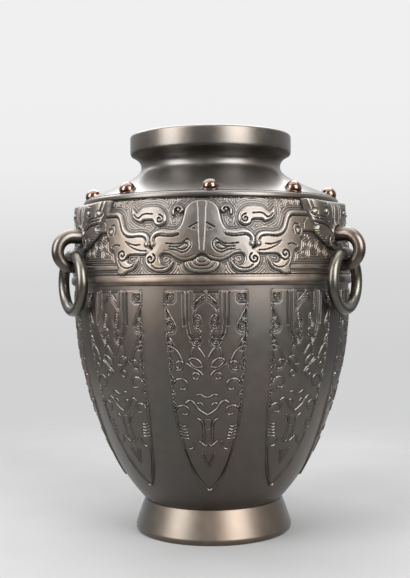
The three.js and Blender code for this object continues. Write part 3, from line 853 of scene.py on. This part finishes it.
def linear(red, green, blue):
    """A colour given in 8-bit screen values, as Blender wants it."""
    return tuple((c / 255 / 12.92 if c / 255 < 0.04045 else ((c / 255 + 0.055) / 1.055) ** 2.4)
                 for c in (red, green, blue)) + (1,)


class Nodes:
    """A node tree with short ways to grow it; an input is a value or another node's output."""

    def __init__(self, tree):
        self.tree = tree

    def put(self, node, inputs):
        for key, value in inputs.items():
            if isinstance(value, bpy.types.NodeSocket):
                self.tree.links.new(value, node.inputs[key])
            else:
                node.inputs[key].default_value = value
        return node

    def node(self, kind, inputs=None, **settings):
        node = self.tree.nodes.new(kind)
        for key, value in settings.items():
            setattr(node, key, value)
        return self.put(node, inputs or {})

    def ranged(self, value, low, high, to_low=0.0, to_high=1.0, **settings):
        given = {"Value": value, "From Min": low, "From Max": high, "To Min": to_low, "To Max": to_high}
        return self.node("ShaderNodeMapRange", given, **settings).outputs["Result"]

    def math(self, operation, a, b):
        return self.node("ShaderNodeMath", {0: a, 1: b}, operation=operation).outputs["Value"]

    def mix(self, share, a, b):
        node = self.node("ShaderNodeMix", {"Factor": share, "A": a, "B": b}, data_type="RGBA")
        return node.outputs["Result"]

    def mix_shader(self, share, first, second):
        return self.node("ShaderNodeMixShader", {"Fac": share, 1: first, 2: second}).outputs["Shader"]


class Shader(Nodes):
    """A material's node tree, with a principled shader at its end."""

    def __init__(self, name):
        self.material = bpy.data.materials.new(name)
        self.material.use_nodes = True
        super().__init__(self.material.node_tree)
        self.surface = self.tree.nodes["Principled BSDF"]
        self.place = self.node("ShaderNodeTexCoord").outputs["Object"]

    def noise(self, scale, detail, place=None, **settings):
        """Noise from 0 to 1, of that scale per metre."""
        given = {"Vector": place or self.place, "Scale": scale, "Detail": detail}
        return self.node("ShaderNodeTexNoise", given, **settings).outputs["Fac"]

    def brushed(self, scale):
        """Fine lines round a turned piece or along a bar, so many per metre, that fade in and out."""
        lines = self.math("MULTIPLY", self.field("lathe"), scale)
        wander = self.math("MULTIPLY", self.noise(16, 2), BRUSH_WANDER)
        place = self.node("ShaderNodeCombineXYZ", {"X": lines, "Y": wander}).outputs["Vector"]
        return self.noise(1, 2, place, noise_dimensions="2D")

    def field(self, name):
        return self.node("ShaderNodeAttribute", attribute_name=name).outputs["Fac"]

    def bump(self, height, distance, **under):
        node = self.node("ShaderNodeBump", {"Height": height, "Distance": distance, **under})
        return node.outputs["Normal"]


# Near-black brown laid into the relief's hollows: dirt, and painted shade where shade falls in them.
DIRT_AND_SHADE = linear(26, 23, 21)
DIRT_AND_SHADE_SHARE = 0.85
RUBBED_SHARE = 0.8
PATCH_SCALE = 11
MOTTLE_SCALE = 120
GRAIN_SCALE = 330
BRUSH_SCALE = 900
FINE_BRUSH_SCALE = 2600
FINE_BRUSH_SHARE = 0.4
BRUSH_WANDER = 2.5
WAX = 0.85


def bronze(name, dark, warm, rubbed, rough, wax=WAX, brush=0.0, cast=0.00004):
    """Waxed, patinated bronze: two mottled tones, rubbed crests, hollows darkened with dirt and painted
    shade, cast or brushed skin.
    """
    shader = Shader(name)
    patches = shader.ranged(shader.noise(PATCH_SCALE, 3), 0.38, 0.62)
    mottle = shader.noise(MOTTLE_SCALE, 5)
    wear = shader.field("wear")
    crest = shader.math("MULTIPLY", shader.ranged(wear, 0.1, 0.75), shader.ranged(mottle, 0.3, 0.62, 0.5))
    # The hollows' mask, for their dirt and painted shade.
    hollow = shader.ranged(wear, -0.06, -0.6)
    tone = shader.mix(patches, linear(*dark), linear(*warm))
    tone = shader.mix(shader.ranged(mottle, 0.42, 0.7, 0.0, 0.25), tone, linear(*rubbed))
    tone = shader.mix(shader.math("MULTIPLY", crest, RUBBED_SHARE), tone, linear(*rubbed))
    # Painted shade and dirt: the relief's hollows are darkened towards the near-black brown.
    tone = shader.mix(shader.math("MULTIPLY", hollow, DIRT_AND_SHADE_SHARE), tone, DIRT_AND_SHADE)
    roughness = shader.ranged(mottle, 0.3, 0.7, rough - 0.04, rough + 0.05)
    roughness = shader.math("SUBTRACT", roughness, shader.math("MULTIPLY", crest, 0.08))
    roughness = shader.math("ADD", roughness, shader.math("MULTIPLY", hollow, 0.2))
    normal = shader.bump(shader.noise(GRAIN_SCALE, 2), cast)
    if brush:
        normal = shader.bump(shader.brushed(FINE_BRUSH_SCALE), FINE_BRUSH_SHARE * brush, Normal=normal)
        normal = shader.bump(shader.brushed(BRUSH_SCALE), brush, Normal=normal)
    shader.put(shader.surface, {
        "Base Color": tone, "Metallic": 1.0, "Roughness": roughness, "Normal": normal,
        "Coat Weight": wax, "Coat Roughness": rough - 0.05})
    return shader.material


BODY_BRONZE = bronze("body_bronze", (66, 63, 58), (76, 65, 56), (90, 84, 77), 0.46, brush=0.00003)
FRIEZE_BRONZE = bronze("frieze_bronze", (74, 71, 67), (90, 75, 62), (122, 116, 109), 0.43, cast=0.00006)
TURNED_BRONZE = bronze("turned_bronze", (64, 62, 58), (80, 68, 57), (94, 88, 81), 0.37, 1.0, 0.00002, 0.00001)
FOOT_BRONZE = bronze("foot_bronze", (72, 68, 60), (86, 72, 59), (102, 92, 82), 0.42, 1.0, 0.00004, 0.00001)
BOSS_BRONZE = bronze("boss_bronze", (72, 54, 43), (94, 61, 43), (108, 75, 56), 0.15, 1.0, cast=0.00001)
MASK_BRONZE = bronze("mask_bronze", (78, 74, 68), (86, 77, 68), (122, 115, 106), 0.41)
LOOP_BRONZE = bronze("loop_bronze", (70, 65, 59), (84, 68, 58), (98, 87, 77), 0.34, WAX, 0.00003, 0.00002)
RING_BRONZE = bronze("ring_bronze", (72, 69, 61), (78, 72, 62), (98, 92, 82), 0.34, WAX, 0.00002, 0.00002)


def finished(piece, material, node, body=VASE):
    """Gives a piece its material and its body, and hides the CAD node that it stands for."""
    piece.data.materials.append(material)
    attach(piece, body)
    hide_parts(node)


# Body casting: nine belly sectors with a blade each and three frieze sectors with a face each, all cut in two

BELLY_GRID_RADIUS = BELLY_RADIUS * 0.96
MASK_OVERLAP = 1.0
MASK_OVERLAP_FADE = 1.2
COVERED_RISE = 1.0


def make_sectors(name, line, inner, count, turn, span, radius, draw, material):
    half = math.pi / count
    step = INSIDE_STEP * round(half * radius / RELIEF_GRID / INSIDE_STEP)
    rows = INSIDE_STEP * round(walked(line)[-1] / RELIEF_GRID / INSIDE_STEP)
    azimuths = np.linspace(-half, half, SECTOR_PARTS * step + 1)
    line, inner = spaced(line, rows), spaced(inner, rows)
    across, up = np.meshgrid(azimuths * span, line[:, 1])
    height = draw(across, up)
    # Crests get wear in the material, and hollows get dirt and painted shade.
    wear = wear_of(height)
    lathe = np.broadcast_to(walked(line)[:, None] * MM, height.shape)
    radii, levels = raised(line, height)
    for k in range(count):
        turned = azimuths + 2 * half * k + math.radians(turn)
        front = at_azimuth(radii, turned, levels)
        back = at_azimuth(inner[:, None, 0], turned, inner[:, None, 1])
        for j in range(SECTOR_PARTS):
            here = np.s_[:, j * step:(j + 1) * step + 1]
            piece = shell_patch(f"{name}_{k * SECTOR_PARTS + j + 1}", front[here], back[here],
                                wear=wear[here], lathe=lathe[here])
            finished(piece, material, "body_wall")


def make_belly():
    inner = BELLY_LINE + left_normals(BELLY_LINE) * BODY_WALL
    make_sectors("belly", BELLY_LINE, inner, BLADE_COUNT, BLADE_TURN, BLADE_SPAN, BELLY_GRID_RADIUS,
                 draw_blade, BODY_BRONZE)


def frieze_under_masks(across, up):
    """The frieze's relief, left flat where the masks cover it."""
    height = draw_frieze(across, up)
    for side in (-1, 1):
        keel = math.radians(side * 180 / FRIEZE_FACES - FRIEZE_TURN)
        beside = np.abs(np.sin(across / FRIEZE_SPAN - keel)) * wall_radius(up)
        covered = np.clip((mask_half(up) - MASK_OVERLAP - beside) / MASK_OVERLAP_FADE, 0, 1)
        covered *= up > MASK_BOTTOM_Z
        height = np.where(covered > 0, np.minimum(height, COVERED_RISE), height) * (1 - covered)
    return height


def make_frieze():
    inner = straight((BELLY_RADIUS, BAND_Z), (FRIEZE_FOOT_RADIUS, FRIEZE_Z), (FRIEZE_TOP_RADIUS, LIP_Z))
    make_sectors("frieze", chain(BAND_LINE, FRIEZE_LINE), inner - (BODY_WALL, 0), FRIEZE_FACES, FRIEZE_TURN,
                 FRIEZE_SPAN, FRIEZE_SPAN, frieze_under_masks, FRIEZE_BRONZE)


# Turned castings

def make_shoulder():
    spigot = FRIEZE_TOP_RADIUS - BODY_WALL - SEAT
    inner = spigot - SPIGOT_WALL
    bore = NECK_RADIUS - SHOULDER_WALL
    under = SHOULDER_LINE + left_normals(SHOULDER_LINE) * SHOULDER_WALL
    under = under[(under[:, 0] > bore) & (under[:, 0] < inner)][::-1]
    lip_low, spigot_low = LIP_Z + SEAT, LIP_Z - SPIGOT_DEPTH
    lip = chain(
        (FRIEZE_TOP_RADIUS, lip_low),
        quarter((LIP_RADIUS - LIP_FOOT_ROUND[0], lip_low), (LIP_RADIUS, lip_low + LIP_FOOT_ROUND[1]),
                "across", 4),
        quarter((LIP_RADIUS, SHOULDER_Z - LIP_TOP_ROUND[1]),
                (LIP_RADIUS - LIP_TOP_ROUND[0], SHOULDER_Z + LIP_CREST), "up", 7))

    rim_foot = RIM_RADIUS - RIM_UNDERCUT
    rim_bore = RIM_RADIUS - RIM_WALL
    round_z = TOP_Z - RIM_ROUND
    angle, reach_neck, reach_rim = NECK_FLARE
    heading = math.radians(angle)
    flare = bezier((NECK_RADIUS, NECK_Z), (NECK_RADIUS, NECK_Z + reach_neck),
                   (rim_foot - reach_rim * math.cos(heading), RIM_Z - reach_rim * math.sin(heading)),
                   (rim_foot, RIM_Z), count=20)
    rim = chain(
        quarter((rim_foot, RIM_Z), (RIM_RADIUS, RIM_Z + RIM_UNDERCUT_HEIGHT), "across", 6),
        quarter((RIM_RADIUS, round_z), (RIM_RADIUS - RIM_ROUND, TOP_Z), "up"),
        quarter((rim_bore + RIM_ROUND, TOP_Z), (rim_bore, round_z), "across"))
    steep, turned, low = (NECK_Z + level for level in THROAT_LEVELS)
    throat = bezier((rim_bore, round_z), (rim_bore, steep), (bore, turned), (bore, low), count=16)
    outline = chain(lip, SHOULDER_LINE[2:], flare[1:], rim, throat, under,
                    (inner, LIP_Z), (inner, spigot_low), (spigot, spigot_low), (spigot, lip_low))
    finished(turned_piece("shoulder_and_neck", outline), TURNED_BRONZE, "shoulder_neck")


def make_foot():
    spigot = FOOT_WAIST_RADIUS - BODY_WALL - SEAT
    inner = spigot - SPIGOT_WALL
    hole = PLATE_RADIUS + SEAT
    ledge = hole - PLATE_LEDGE
    ledge_low = PLATE_THICKNESS + SEAT
    width, height = STANDING_ROUND
    (low_in, low_z), (high_out, high_z) = FOOT_SWEEP
    top = BODY_FOOT_Z - SEAT
    spigot_top = BODY_FOOT_Z + SPIGOT_DEPTH
    edge = (FOOT_WAIST_RADIUS + FOOT_EDGE[0], top - FOOT_EDGE[1])
    outline = chain(
        (hole, 0),
        quarter((FOOT_RADIUS - width, 0), (FOOT_RADIUS, height), "across"),
        bezier((FOOT_RADIUS, height), (FOOT_RADIUS - low_in, low_z), (FOOT_WAIST_RADIUS + high_out, high_z),
               edge, count=30),
        quarter(edge, (FOOT_WAIST_RADIUS - 0.5, top), "up", 4),
        (spigot, top), (spigot, spigot_top), (inner, spigot_top), (inner, BODY_FOOT_Z - FOOT_WALL),
        (ledge, ledge_low + PLATE_LEDGE_HEIGHT), (ledge, ledge_low), (hole, ledge_low))
    finished(turned_piece("foot", outline), FOOT_BRONZE, "foot_ring")
    disc = straight((AXIS_GAP, 0), (PLATE_RADIUS, 0), (PLATE_RADIUS, PLATE_THICKNESS),
                    (AXIS_GAP, PLATE_THICKNESS))
    finished(knob_piece("bottom_plate", disc, 180), FOOT_BRONZE, "base_plate")


def make_bosses():
    """Domed studs on the shoulder, each leaning with it and standing on a fine collar."""
    radii, levels = SHOULDER_LINE[::-1].T
    height, beyond = np.interp((BOSS_CIRCLE_RADIUS, BOSS_CIRCLE_RADIUS + BOSS_SLOPE_STEP), radii, levels)
    lean = math.atan2(height - beyond, BOSS_SLOPE_STEP)
    radius, collar, collar_z = BOSS_DIAMETER / 2, BOSS_COLLAR[0] / 2, SEAT + BOSS_COLLAR[1]
    outline = chain((AXIS_GAP, -BOSS_SHANK), (collar, -BOSS_SHANK),
                    quarter((collar, SEAT), (collar - 0.3, collar_z), "up", 5),
                    quarter((radius + 0.3, collar_z), (radius, collar_z - 0.25), "across", 4),
                    quarter((radius, collar_z), (AXIS_GAP, SEAT + BOSS_RISE), "up", 20))
    for k in range(BOSS_COUNT):
        turn = math.radians(BOSS_TURN + k * 360 / BOSS_COUNT)

        def place(points):
            x, y, z = points.T
            out = BOSS_CIRCLE_RADIUS - y * math.cos(lean) + z * math.sin(lean)
            z = height + y * math.sin(lean) + z * math.cos(lean)
            return np.stack([x * math.cos(turn) + out * math.sin(turn),
                             x * math.sin(turn) - out * math.cos(turn), z], -1)

        piece = knob_piece(f"boss_{k + 1}", outline, BOSS_SIDES, place)
        finished(piece, BOSS_BRONZE, f"shoulder_boss_{k + 1}")


# Handles

def make_mask(side, azimuth):
    up = np.linspace(MASK_BOTTOM_Z, MASK_TOP_Z, MASK_ROWS + 1)[:, None]
    across = np.linspace(-1, 1, MASK_COLUMNS + 1) * mask_half(up)
    up = np.broadcast_to(up, across.shape)
    wall = wall_radius(up)
    out = draw_mask(across, up, wall)
    front = at_azimuth(np.hypot(out, across), azimuth + np.arctan2(across, out), up)
    back = at_azimuth(wall - MASK_SINK, azimuth + np.arcsin(across / wall), up)
    # The mask's crests get wear in the material, and its hollows dirt and painted shade.
    piece = shell_patch(f"mask_head_{side}", front, back, wear=wear_of(out, 2 * MASK_HALF / MASK_COLUMNS))
    finished(piece, MASK_BRONZE, f"mask_{side}")


def make_loop(side, azimuth):
    """The handle's bar: out of the mask, round the bend and back into the wall below."""
    start, finish = wall_radius(LOOP_HIGH_Z) - LOOP_SUNK, wall_radius(LOOP_LOW_Z) - LOOP_SUNK
    bend = arc((RING_REACH, LOOP_MIDDLE_Z), LOOP_BEND, 90, -90, count=60)
    line = spaced(chain((start, LOOP_HIGH_Z), bend, (finish, LOOP_LOW_Z)), LOOP_STEPS)
    share = np.clip(walked(line) / (RING_REACH - start + LOOP_TAPER * math.pi * LOOP_BEND), 0, 1)
    radius = (LOOP_ROOT + share * (LOOP_TIP - LOOP_ROOT)) / 2
    path, beside = at_azimuth(line[:, 0], azimuth, line[:, 1]), at_azimuth(1, azimuth + math.pi / 2, 0)
    piece = swept_piece(f"handle_loop_{side}", path, radius, beside)
    finished(piece, LOOP_BRONZE, f"loop_{side}")


def make_ring(side, azimuth):
    turn = full_turn(RING_STEPS)[:, None]
    outwards, beside = at_azimuth(1, azimuth, 0), at_azimuth(1, azimuth + math.pi / 2, 0)
    centre = at_azimuth(RING_REACH, azimuth, RING_TOP_Z - RING_RADIUS)
    path = centre + RING_RADIUS * (np.sin(turn) * beside + np.cos(turn) * (0, 0, 1))
    piece = swept_piece(f"hanging_ring_{side}", path, RING_BAR / 2, outwards, closed=True)
    finished(piece, RING_BRONZE, f"ring_{side}", body=f"{side}_ring")


make_belly()
make_frieze()
make_shoulder()
make_bosses()
make_foot()
for handle, degrees in HANDLES.items():
    for make_part in (make_mask, make_loop, make_ring):
        make_part(handle, math.radians(degrees))


# Stage, light and camera

CAMERA_AZIMUTH = 2.6
CAMERA_DISTANCE = 729
CAMERA_HEIGHT = 189.6
CAMERA_ROLL = 0.5
FOCAL_PIXELS = 943
FRAME_SIZE = (410, 578)
OPTICAL_AXIS = (211.7, 279.7)
SENSOR_WIDTH = 36

FLOOR_RADIUS = 1600.0
FLOOR_SIDES = 128
FLOOR_GREYS = (133, 138)
FLOOR_FADE = (0.34, 0.62)
BACKDROP_SPAN = (-0.2, 0.2)
BACKDROP = [(0.0, 211), (0.30, 210), (0.50, 216), (0.60, 224), (0.68, 231), (0.80, 238), (1.0, 240)]
AMBIENT_SPAN = (-0.35, 0.5)
AMBIENT = (0.06, 0.75)
LIGHT_AIM = 0.15


def make_floor():
    """A pale floor that fades into the backdrop behind the vase."""
    points = at_azimuth(FLOOR_RADIUS, full_turn(FLOOR_SIDES), 0.0)
    floor = mesh_piece("floor", points, [range(FLOOR_SIDES)])
    shader = Shader("floor_paper")
    tone = shader.mix(shader.ranged(shader.noise(9, 3), 0.3, 0.7), *(linear(c, c, c) for c in FLOOR_GREYS))
    shader.put(shader.surface, {"Base Color": tone, "Roughness": 0.85, "Specular IOR Level": 0.2})
    distance = shader.node("ShaderNodeVectorMath", {0: shader.place}, operation="LENGTH").outputs["Value"]
    fade = shader.ranged(distance, *FLOOR_FADE, interpolation_type="SMOOTHSTEP")
    empty = shader.node("ShaderNodeBsdfTransparent").outputs["BSDF"]
    blend = shader.mix_shader(fade, shader.surface.outputs["BSDF"], empty)
    shader.put(shader.tree.nodes["Material Output"], {"Surface": blend})
    floor.data.materials.append(shader.material)


def make_world():
    """A pale backdrop, lighter above, that lights the vase less than it shows."""
    world = bpy.data.worlds.new("studio")
    bpy.context.scene.world = world
    world.use_nodes = True
    sky = Nodes(world.node_tree)
    place = sky.node("ShaderNodeTexCoord").outputs["Generated"]
    height = sky.node("ShaderNodeSeparateXYZ", {"Vector": place}).outputs["Z"]
    ramp = sky.node("ShaderNodeValToRGB", {"Fac": sky.ranged(height, *BACKDROP_SPAN)})
    while len(ramp.color_ramp.elements) < len(BACKDROP):
        ramp.color_ramp.elements.new(0.5)
    for element, (position, grey) in zip(ramp.color_ramp.elements, BACKDROP):
        element.position = position
        element.color = linear(grey, grey, grey)
    strength = sky.ranged(height, *AMBIENT_SPAN, *AMBIENT)
    seen = sky.put(sky.tree.nodes["Background"], {"Color": ramp.outputs["Color"]})
    cast = sky.node("ShaderNodeBackground", {"Color": (1, 1, 1, 1), "Strength": strength})
    camera_ray = sky.node("ShaderNodeLightPath").outputs["Is Camera Ray"]
    choice = sky.mix_shader(camera_ray, cast.outputs["Background"], seen.outputs["Background"])
    sky.put(sky.tree.nodes["World Output"], {"Surface": choice})


def placed(name, data, azimuth, distance, height, tilt, roll=0.0):
    """A light or a camera that stands at an azimuth and faces the vase; distances are metres."""
    holder = bpy.data.objects.new(name, data)
    turn = math.radians(azimuth)
    holder.location = (distance * math.sin(turn), -distance * math.cos(turn), height)
    holder.rotation_euler = (tilt, roll, turn)
    bpy.context.scene.collection.objects.link(holder)
    return holder


def make_light(name, azimuth, distance, height, size, power):
    """A soft box."""
    light = bpy.data.lights.new(name, "AREA")
    light.shape = "RECTANGLE"
    light.size, light.size_y = size
    light.energy = power
    placed(name, light, azimuth, distance, height, math.atan2(distance, height - LIGHT_AIM))


def make_camera():
    camera = bpy.data.cameras.new("camera")
    width, height = FRAME_SIZE
    camera.sensor_width = SENSOR_WIDTH
    camera.lens = FOCAL_PIXELS / height * SENSOR_WIDTH
    camera.shift_x = (width / 2 - OPTICAL_AXIS[0]) / height
    camera.shift_y = (OPTICAL_AXIS[1] - height / 2) / height
    bpy.context.scene.camera = placed(
        "camera", camera, CAMERA_AZIMUTH, CAMERA_DISTANCE * MM, CAMERA_HEIGHT * MM, math.pi / 2,
        math.radians(CAMERA_ROLL))


make_floor()
make_world()
make_camera()
make_light("soft_box_left", CAMERA_AZIMUTH - 56, 1.1, 0.68, (0.6, 1.0), 21)
make_light("soft_box_right", CAMERA_AZIMUTH + 37, 1.1, 0.68, (0.7, 1.0), 26)
make_light("soft_box_top", CAMERA_AZIMUTH - 158, 0.4, 1.3, (1.8, 2.0), 40)
bpy.context.scene.view_settings.view_transform = "Standard"
